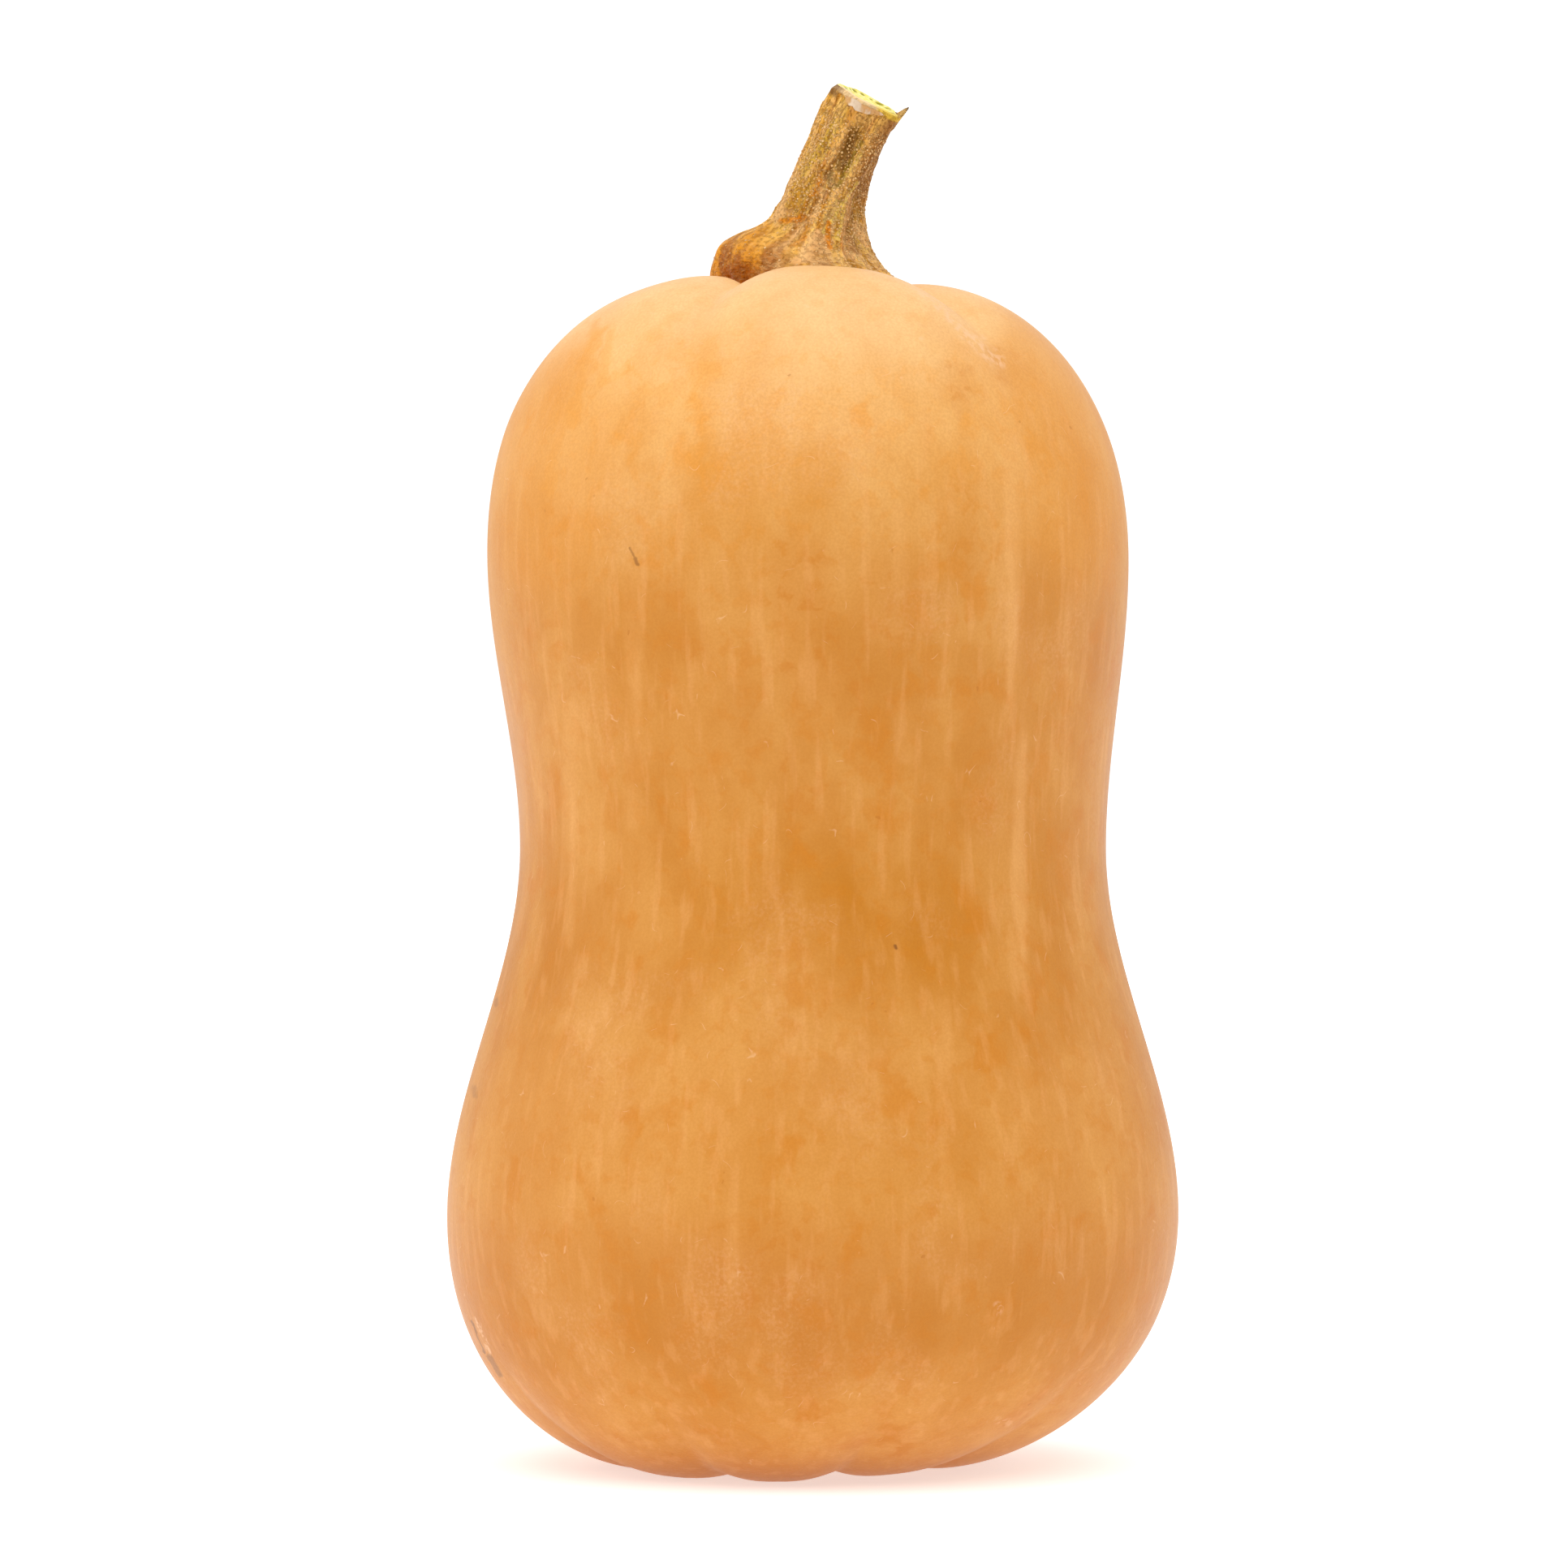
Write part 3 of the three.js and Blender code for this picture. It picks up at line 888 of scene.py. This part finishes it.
def bundle_share(radius, angle):
    """1 in the middle of each pit of the cut face, and 0 between the pits. They are faint in front."""
    turn = 2 * math.pi / BUNDLES
    nearest = turn * round(angle / turn)
    size = BUNDLE_RADIUS * (0.8 + 0.35 * noise.cell(Vector((nearest * 9, 0, 0))))
    across = 2 * radius * math.sin((angle - nearest) / 2)
    along = radius - BUNDLE_RING * curve_at(SHAFT, stem_length)
    strong = smoothstep(-math.cos(nearest), -0.5, 0.1) * 0.8 + 0.2
    return strong * math.exp(-((across ** 2 + along ** 2) / size ** 2))


def cut_rise(share, angle):
    """How far the cut face stands above the end of the stem, share of the way in from its rim."""
    radius = (1 - share) * curve_at(SHAFT, stem_length)
    edge = CUT_CHAMFER * (1 - share) ** 3
    dish = CUT_DISH * (1 - share) * smoothstep(share, 0, 0.1) + CUT_DISH / 2 * share
    ragged = CUT_ROUGHNESS * noise.noise(Vector((math.sin(angle), math.cos(angle), share * 3)) * 4)
    return edge + dish + ragged * smoothstep(share, 0, 0.2) - BUNDLE_DEPTH * bundle_share(radius, angle)


def cut_point(ring, angle):
    """A point of the cut face and what its material reads there, on rings from the rim in."""
    share = (ring + 0.5) / CUT_RINGS
    radius = (stem_radius(stem_length, angle) - BARK_THICKNESS) * (1 - share)
    in_front = smoothstep(math.cos(angle), -0.2, 0.6)
    return {
        "place": stem_place(stem_length, angle, radius, cut_rise(share, angle)),
        "grain": grain_place(stem_length + CUT_DISH, angle),
        "relief": 0,
        "warty": 0,
        "pit": bundle_share((1 - share) * curve_at(SHAFT, stem_length), angle),
        "rind": (1 - smoothstep(share, 0.08, 0.3)) * in_front,
    }


def closed_solid(name, places, around):
    """A closed mesh from a first point, rings of points, and a last point."""
    last = len(places) - 1
    top = last - around
    faces = []
    for low in range(1, top, around):
        for step in range(around):
            after = (step + 1) % around
            faces.append((low + step, low + after, low + around + after, low + around + step))
    for step in range(around):
        after = (step + 1) % around
        faces.append((0, 1 + after, 1 + step))
        faces.append((last, top + step, top + after))
    mesh = bpy.data.meshes.new(name)
    mesh.from_pydata(places, [], faces)
    mesh.shade_smooth()
    return mesh


def stem_mesh():
    """The bark from the seat to the rim, then the cut face in to its middle."""
    angles = [2 * math.pi * step / STEM_SEGMENTS for step in range(STEM_SEGMENTS)]
    plain = {"relief": 0, "warty": 0, "pit": 0}
    bark = [{"place": stem_foot * MM, "grain": (0, 0, 0), "rind": 1, **plain}]
    bark += [bark_point(ring, angle) for ring in range(STEM_RINGS + 2) for angle in angles]
    cut = [cut_point(ring, angle) for ring in range(CUT_RINGS) for angle in angles]
    middle = stem_place(stem_length, 0, 0, CUT_DISH / 2)
    cut.append({"place": middle, "grain": (0, 0, stem_length * MM), "rind": 0, **plain})
    points = bark + cut
    mesh = closed_solid("stem_bark", [point["place"] for point in points], STEM_SEGMENTS)
    grain = mesh.attributes.new("grain", "FLOAT_VECTOR", "POINT")
    grain.data.foreach_set("vector", [number for point in points for number in point["grain"]])
    for name in ("relief", "warty", "pit", "rind"):
        values = [point[name] for point in points]
        mesh.attributes.new(name, "FLOAT", "POINT").data.foreach_set("value", values)
    for face in mesh.polygons:
        if min(face.vertices) >= len(bark):
            face.material_index = 1
    return mesh


# The bark's colours.
BARK_GOLD = paint(206, 138, 38)
PALE_BARK = paint(248, 194, 100)
# Painted shade in the bark's valleys.
VALLEY_SHADE_BROWN = paint(134, 78, 12)
OLIVE = paint(170, 138, 38)
LEFT_GOLD = paint(230, 172, 62)
ROSY_TAN = paint(240, 186, 124)
WEATHERED_BROWN = paint(160, 96, 24)
RIGHT_BROWN = paint(140, 86, 28)
# The collar's amber, dark where painted shade falls in its folds.
DARK_AMBER = paint(168, 92, 6)
AMBER = paint(222, 144, 18)
CRUST_TAN = paint(236, 188, 124)
# Painted shade at the foot of the stem.
FOOT_SHADE_BROWN = paint(128, 74, 42)
CRACK_BROWN = paint(118, 62, 4)
WART_TAN = paint(236, 192, 126)
RIM_CREAM = paint(236, 204, 156)
RIM_YELLOW = paint(226, 184, 52)
FLAP_GOLD = paint(232, 180, 94)
DEAD_BROWN = paint(110, 66, 30)
# Streaks on the front of the stem, by colour. Each has two places in mm, across from the
# stem's middle line and up from its seat, then its half width and how strong it is.
BARK_STREAKS = [
    (paint(98, 58, 8), [((0.1, 30.5), (0.6, 25), 2.0, 0.75), ((-0.6, 26), (-1.4, 22), 1.2, 0.45)]),
    (paint(132, 112, 22), [((2.3, 30), (1.3, 21.5), 0.6, 0.7)]),
    (paint(200, 162, 50), [((-3.8, 31), (-4.6, 21), 0.8, 0.45)]),
    (paint(170, 144, 88), [((-0.6, 22.6), (0.5, 21.2), 1.2, 0.6), ((2.2, 19), (1.0, 15), 0.7, 0.5)]),
    (paint(140, 82, 14), [((-0.9, 18.4), (-1.9, 14.4), 0.7, 0.5), ((5.1, 18), (4.9, 11), 0.8, 0.6)]),
    (paint(240, 202, 100), [
        ((4.2, 23), (1.1, 13), 0.45, 0.9),
        ((3.0, 28), (2.0, 23), 0.35, 0.6),
        ((3.4, 18), (2.8, 12.5), 0.4, 0.7),
        ((-2.9, 30.5), (-3.0, 24), 0.4, 0.5),
    ]),
    (paint(224, 134, 12), [
        ((1.5, 14.9), (1.9, 10.4), 0.5, 0.95),
        ((-2.0, 21.2), (-2.1, 18.4), 0.45, 0.8),
        ((-4.4, 12.8), (-2.3, 14.2), 0.7, 0.8),
        ((3.4, 13.5), (3.5, 10.5), 0.4, 0.6),
        ((-1.6, 9.4), (-0.9, 11.3), 0.5, 0.5),
    ]),
]
BARK_STREAK_FADE = 1 * MM


def bark_material():
    """Dried bark: gold with fine brown cracks, olive, orange and pale streaks, and an amber collar."""
    material, tree, shader = new_material("bark", roughness=0.5, gloss=0.15)
    grain = placed(tree, "ShaderNodeAttribute", {"attribute_name": "grain"}).outputs["Vector"]
    ragged = wobbled(grain, scale=700, distance=0.7 * MM)
    across, ahead, along = parts_of(grain)
    relief = attribute(tree, "relief")

    upper = along.step(14 * MM, 26 * MM)
    collar = along.step(5 * MM, 13 * MM).flipped()
    front = ahead.step(-1 * MM, 1 * MM).flipped()
    left = across.step(-5.2 * MM, -2.5 * MM).flipped()
    middle = across.step(-4.2 * MM, -1.5 * MM) * across.step(1.5 * MM, 5 * MM).flipped() * front
    cushion = collar * across.step(-4 * MM, 0.5 * MM).flipped()
    # Painted shade: the lowest front of the collar, where it meets the fruit under its overhang.
    foot_shade = along.step(3.5 * MM, 7.5 * MM).flipped() * middle
    near_cut = along.step((stem_length - 1.6) * MM, (stem_length - 1) * MM)
    rim = along.step((stem_length - 0.4) * MM, stem_length * MM)
    flap = along.step((stem_length + 0.5) * MM, (stem_length + 0.9) * MM)
    flap_tip = along.step((stem_length + 1.9) * MM, (stem_length + 2.7) * MM)
    right = across.step(2.5 * MM, 5 * MM) * along.step(13 * MM, 24 * MM) * flap.flipped()
    left_corner = across.step(-6.3 * MM, -5.7 * MM).flipped()
    worn = left_corner.math("MAXIMUM", ahead.step(0.0, 2 * MM) * flap.flipped())

    fibres = mottled(grain, scale=1100, low=0.36, high=0.64, stretch=(1, 1, 0.12), detail=5.0)
    olive = mottled(grain, scale=300, low=0.5, high=0.6, stretch=(1, 1, 0.16))
    golden = mottled(grain, scale=220, low=0.35, high=0.6, stretch=(1, 1, 0.2), detail=2.0)
    rosy = mottled(grain, scale=500, low=0.46, high=0.58, stretch=(1, 1, 0.5), detail=5.0)
    brown = mottled(grain, scale=420, low=0.52, high=0.6, stretch=(1, 1, 0.2), detail=4.0)
    amber = mottled(grain, scale=620, low=0.42, high=0.58, stretch=(1, 1, 0.3), detail=5.0)
    crust = mottled(grain, scale=900, low=0.46, high=0.6, detail=5.0)
    cracks = mottled(grain, scale=2300, low=0.46, high=0.64, stretch=(1, 1, 0.7), detail=5.0)
    # Painted shade: darker where the relief is low, in the valleys between ribs and wrinkles.
    valley_shade = (relief + fibres * 0.25).step(-0.5, 0.12).flipped()
    # Painted shade and light on the collar's folds: dark amber where the relief is low and amber where it is
    # high, broken up by amber mottling.
    fold_shade = (relief + amber * 0.6 - 0.3).step(-0.45, 0.3)
    warts = masked(grain, specks, Spacing=0.5 * MM, Radius=0.26 * MM, Share=0.9)
    small_warts = warts * (attribute(tree, "warty") * 0.85 + 0.15)

    collar_colour = blended(fold_shade, DARK_AMBER, AMBER)
    rim_colour = blended(across.step(1.5 * MM, 3 * MM), RIM_CREAM, RIM_YELLOW)
    colour = layered(BARK_GOLD, [
        (fibres, PALE_BARK),
        # painted shade in the valleys
        (valley_shade * 0.36, VALLEY_SHADE_BROWN),
        (olive * (collar * -0.35 + 0.35), OLIVE),
        (left * golden * 0.5, LEFT_GOLD),
        (rosy * (upper * -0.6 + 1) * 0.72, ROSY_TAN),
        (brown * 0.25, WEATHERED_BROWN),
        (right * 0.76, RIGHT_BROWN),
        *((marks_mask(ragged, streaks, BARK_STREAK_FADE), shade) for shade, streaks in BARK_STREAKS),
        # the amber collar, with its painted fold shade
        (cushion * 0.95, collar_colour),
        (collar * crust * middle * 0.6, CRUST_TAN),
        # painted shade at the stem's foot, broken up by crust
        (foot_shade * (crust * -0.5 + 0.65), FOOT_SHADE_BROWN),
        (cracks * (upper * 0.15 + 0.35), CRACK_BROWN),
        (small_warts * 0.6, WART_TAN),
        (rim * flap.flipped() * front * 0.7, rim_colour),
        (near_cut * worn * 0.7, DEAD_BROWN),
        (flap * 0.75, FLAP_GOLD),
        (flap_tip * 0.6, DEAD_BROWN),
    ])
    feed(shader.inputs["Base Color"], colour)
    feed(shader.inputs["Roughness"], cushion * -0.2 + cracks * 0.1 + 0.46)
    height = fibres * 0.4 - cracks * 0.7 + rosy * 0.3 + amber * cushion * 0.6
    height = height + crust * collar * 0.5 + small_warts
    roughen(shader, height, strength=1.0, depth=0.22 * MM)
    return material


# The cut's colours.
PITH = paint(240, 222, 104)
PALE_PITH = paint(250, 238, 160)
STRAND_GREEN = paint(160, 148, 24)
STRAND_BLUE_GREEN = paint(96, 148, 92)
RIND_CREAM = paint(238, 206, 160)
RIND_YELLOW = paint(230, 192, 70)


def cut_material():
    """Pale yellow pith, creamier at its rim, with a ring of green strands, the leftmost one bluer."""
    material, tree, shader = new_material("cut_pith", roughness=0.6, gloss=0.3)
    place = tree.nodes.new("ShaderNodeTexCoord").outputs["Object"]
    across = parts_of(place)[0]
    fibres = mottled(place, scale=1400, low=0.35, high=0.65)
    strand_colour = blended(across.step(6.2 * MM, 7.2 * MM), STRAND_BLUE_GREEN, STRAND_GREEN)
    rind_colour = blended(across.step(10 * MM, 12 * MM), RIND_CREAM, RIND_YELLOW)
    colour = layered(PITH, [
        (fibres, PALE_PITH),
        (attribute(tree, "pit").step(0.1, 0.6), strand_colour),
        (attribute(tree, "rind") * 0.9, rind_colour),
    ])
    feed(shader.inputs["Base Color"], colour)
    roughen(shader, fibres, strength=0.5, depth=0.08 * MM)
    return material


stem = shown(stem_mesh())
stem.data.materials.append(bark_material())
stem.data.materials.append(cut_material())
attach(stem, "root")
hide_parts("stem")


# The warts are specks of cork that the bark pushed up as it dried. They crowd
# the shaft and thin out over the swollen left side of the collar.
wart_sizes = {
    "Distance between": 0.44 * MM,
    "Most to a square metre": 3.4e6,
    "Radius": 0.2 * MM,
    "Flatness": 0.7,
    "Smallest": 0.5,
    "Largest": 1.3,
    "Seed": 11,
}
CORK = paint(190, 136, 66)
PALE_CORK = paint(234, 194, 132)


def wart_tree():
    """Scatters small flattened balls over the stem, more of them where it is warty."""
    inputs = {"Stem": ("NodeSocketGeometry", None), "Cork": ("NodeSocketMaterial", None)}
    inputs.update(sized_inputs(wart_sizes))
    outputs = {"Warts": "NodeSocketGeometry"}
    tree, given, made = new_group("scattered_warts", "GeometryNodeTree", inputs, outputs)
    warty = placed(tree, "GeometryNodeInputNamedAttribute", Name="warty").outputs["Attribute"]
    spots = placed(
        tree, "GeometryNodeDistributePointsOnFaces", {"distribute_method": "POISSON"}, Mesh=given["Stem"],
        Distance_Min=given["Distance between"], Density_Max=given["Most to a square metre"],
        Density_Factor=warty, Seed=given["Seed"],
    )
    ball = placed(tree, "GeometryNodeMeshIcoSphere", Radius=given["Radius"], Subdivisions=1)
    squash = placed(tree, "ShaderNodeCombineXYZ", X=1.0, Y=1.0, Z=given["Flatness"])
    bead = placed(tree, "GeometryNodeTransform", Geometry=ball.outputs["Mesh"], Scale=squash.outputs[0])
    spread = placed(tree, "FunctionNodeRandomValue", {"data_type": "FLOAT"}, Seed=given["Seed"])
    feed(with_identifier(spread.inputs, "Min_001"), given["Smallest"])
    feed(with_identifier(spread.inputs, "Max_001"), given["Largest"])
    warts = placed(
        tree, "GeometryNodeInstanceOnPoints", Points=spots.outputs["Points"], Instance=bead.outputs[0],
        Rotation=spots.outputs["Rotation"], Scale=with_identifier(spread.outputs, "Value_001"),
    )
    feed(made["Warts"], finish_growing(tree, warts.outputs[0], given["Cork"]))
    return tree


def cork_material():
    """Pale tan cork, a little different from wart to wart."""
    material, tree, shader = new_material("cork", roughness=0.45)
    place = tree.nodes.new("ShaderNodeTexCoord").outputs["Object"]
    feed(shader.inputs["Base Color"], layered(CORK, [
        (mottled(place, scale=900, low=0.35, high=0.65), PALE_CORK),
    ]))
    return material


warts = grown(stem, "stem_warts", wart_tree(), {**wart_sizes, "Cork": cork_material()})
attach(warts, "root")


# A strip of the stem's thin outer skin was pulled down as it was cut. It hangs
# as a pale papery crescent under the front of the rim. Its sizes are in mm.
PEEL_START = math.radians(-46)
PEEL_END = math.radians(40)
PEEL_STEPS = 60
PEEL_ROWS = 14
PEEL_LENGTH = 1.35
PEEL_LEFTWARDS = 0.8
PEEL_TAPER = 1.5
PEEL_RISE = 0.3
PEEL_LIFT = 0.3
PEEL_WAVE = 0.1
PEEL_THICKNESS = 0.12
CLINGING_TAN = paint(200, 148, 82)
LIFTED_WHITE = paint(216, 190, 160)


def peel_sheet(inward):
    """Rows of points down from the rim. The strip is longest left of its middle."""
    rows = []
    for row in range(PEEL_ROWS + 1):
        down = row / PEEL_ROWS
        line = []
        for step in range(PEEL_STEPS + 1):
            across = step / PEEL_STEPS
            angle = PEEL_START + (PEEL_END - PEEL_START) * across
            longest = math.sin(math.pi * across ** PEEL_LEFTWARDS) ** PEEL_TAPER
            ragged = 0.85 + 0.3 * noise.noise(Vector((across * 14, 0, 0)))
            distance = bark_end(angle) - PEEL_LENGTH * down * longest * ragged
            wave = PEEL_WAVE * noise.noise(Vector((across * 9, down * 2, 1)))
            curl = max(0, PEEL_LIFT * down ** 2 * longest + wave)
            surface = stem_radius(distance, angle) + bark_relief(distance, angle)
            rise = PEEL_RISE * (1 - smoothstep(down, 0, 0.2)) * smoothstep(longest, 0, 0.3)
            line.append(stem_place(distance, angle, surface + PEEL_THICKNESS + curl - inward, rise))
        rows.append(line)
    return rows


def peel_mesh():
    """The outer and inner sheets, closed all round the edge."""
    width = PEEL_STEPS + 1
    outer = [point for line in peel_sheet(0) for point in line]
    inner = [point for line in peel_sheet(PEEL_THICKNESS) for point in line]
    count = len(outer)
    faces = []
    for row in range(PEEL_ROWS):
        for step in range(PEEL_STEPS):
            corner = row * width + step
            face = (corner, corner + width, corner + width + 1, corner + 1)
            faces.append(face)
            faces.append(tuple(count + point for point in reversed(face)))
    border = [
        *range(PEEL_STEPS), *range(PEEL_STEPS, count - 1, width),
        *range(count - 1, count - 1 - PEEL_STEPS, -1), *range(count - width, 0, -width),
    ]
    for here, after in zip(border, border[1:] + border[:1]):
        faces.append((here, after, count + after, count + here))
    mesh = bpy.data.meshes.new("peeled_skin")
    mesh.from_pydata(outer + inner, [], faces)
    mesh.shade_smooth()
    return mesh


def peel_material():
    """Thin dry skin, greyish white where it has lifted and tan where it still clings to the bark."""
    material, tree, shader = new_material("peeled_skin", roughness=0.4)
    place = tree.nodes.new("ShaderNodeTexCoord").outputs["Object"]
    veins = mottled(place, scale=500, low=0.46, high=0.6, stretch=(1, 1, 0.5), detail=4.0)
    feed(shader.inputs["Base Color"], layered(CLINGING_TAN, [(veins, LIFTED_WHITE)]))
    roughen(shader, veins, strength=0.6, depth=0.12 * MM)
    return material


peel = shown(peel_mesh())
peel.data.materials.append(peel_material())
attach(peel, "root")


# The floor is a wide sheet of white acrylic. It glows evenly by itself, with no lamp under it,
# as well as being lit from above, so that shadows on it stay faint.
FLOOR_REACH = 6
FLOOR_WHITENESS = 0.75
FLOOR_GLOW = 0.54
floor_mesh = bpy.data.meshes.new("floor")
floor_corners = [(FLOOR_REACH * x, FLOOR_REACH * y, 0) for x, y in ((-1, -1), (1, -1), (1, 1), (-1, 1))]
floor_mesh.from_pydata(floor_corners, [], [(0, 1, 2, 3)])
acrylic = new_material("white_acrylic", roughness=0.9, gloss=0.1)[0]
acrylic_inputs = acrylic.node_tree.nodes["Principled BSDF"].inputs
acrylic_inputs["Base Color"].default_value = (FLOOR_WHITENESS, FLOOR_WHITENESS, FLOOR_WHITENESS, 1)
acrylic_inputs["Emission Color"].default_value = (1, 1, 1, 1)
acrylic_inputs["Emission Strength"].default_value = FLOOR_GLOW
floor_mesh.materials.append(acrylic)
shown(floor_mesh)


# Light comes from a large soft source overhead and softer ones at both sides. The
# white room is bright behind the fruit and dim behind the camera.
ROOM_BEHIND = 0.8
ROOM_IN_FRONT = 0.1
BACKGROUND = 1.15
world = bpy.data.worlds.new("studio")
world.use_nodes = True
room = world.node_tree
background = room.nodes["Background"]
seen = Field(room.nodes.new("ShaderNodeLightPath").outputs["Is Camera Ray"])
behind = parts_of(room.nodes.new("ShaderNodeTexCoord").outputs["Generated"])[1]
strength = behind.step(-0.3, 0.5) * (ROOM_BEHIND - ROOM_IN_FRONT) + ROOM_IN_FRONT
feed(background.inputs["Strength"], strength.math("MAXIMUM", seen * BACKGROUND))
background.inputs["Color"].default_value = (1, 1, 1, 1)
bpy.context.scene.world = world
bpy.context.scene.view_settings.view_transform = "Standard"


def soft_light(name, strength, spread, turn, rise):
    """A wide soft light a long way off. Its turn is from the front towards the right."""
    light = bpy.data.objects.new(name, bpy.data.lights.new(name, "SUN"))
    light.data.energy = strength
    light.data.angle = math.radians(spread)
    turn, rise = math.radians(turn), math.radians(rise)
    source = Vector((math.sin(turn) * math.cos(rise), -math.cos(turn) * math.cos(rise), math.sin(rise)))
    light.rotation_euler = source.to_track_quat("Z", "Y").to_euler()
    bpy.context.collection.objects.link(light)


soft_light("overhead", strength=2.55, spread=70, turn=0, rise=66)
soft_light("left", strength=0.93, spread=60, turn=-75, rise=15)
soft_light("right", strength=0.42, spread=60, turn=85, rise=22)
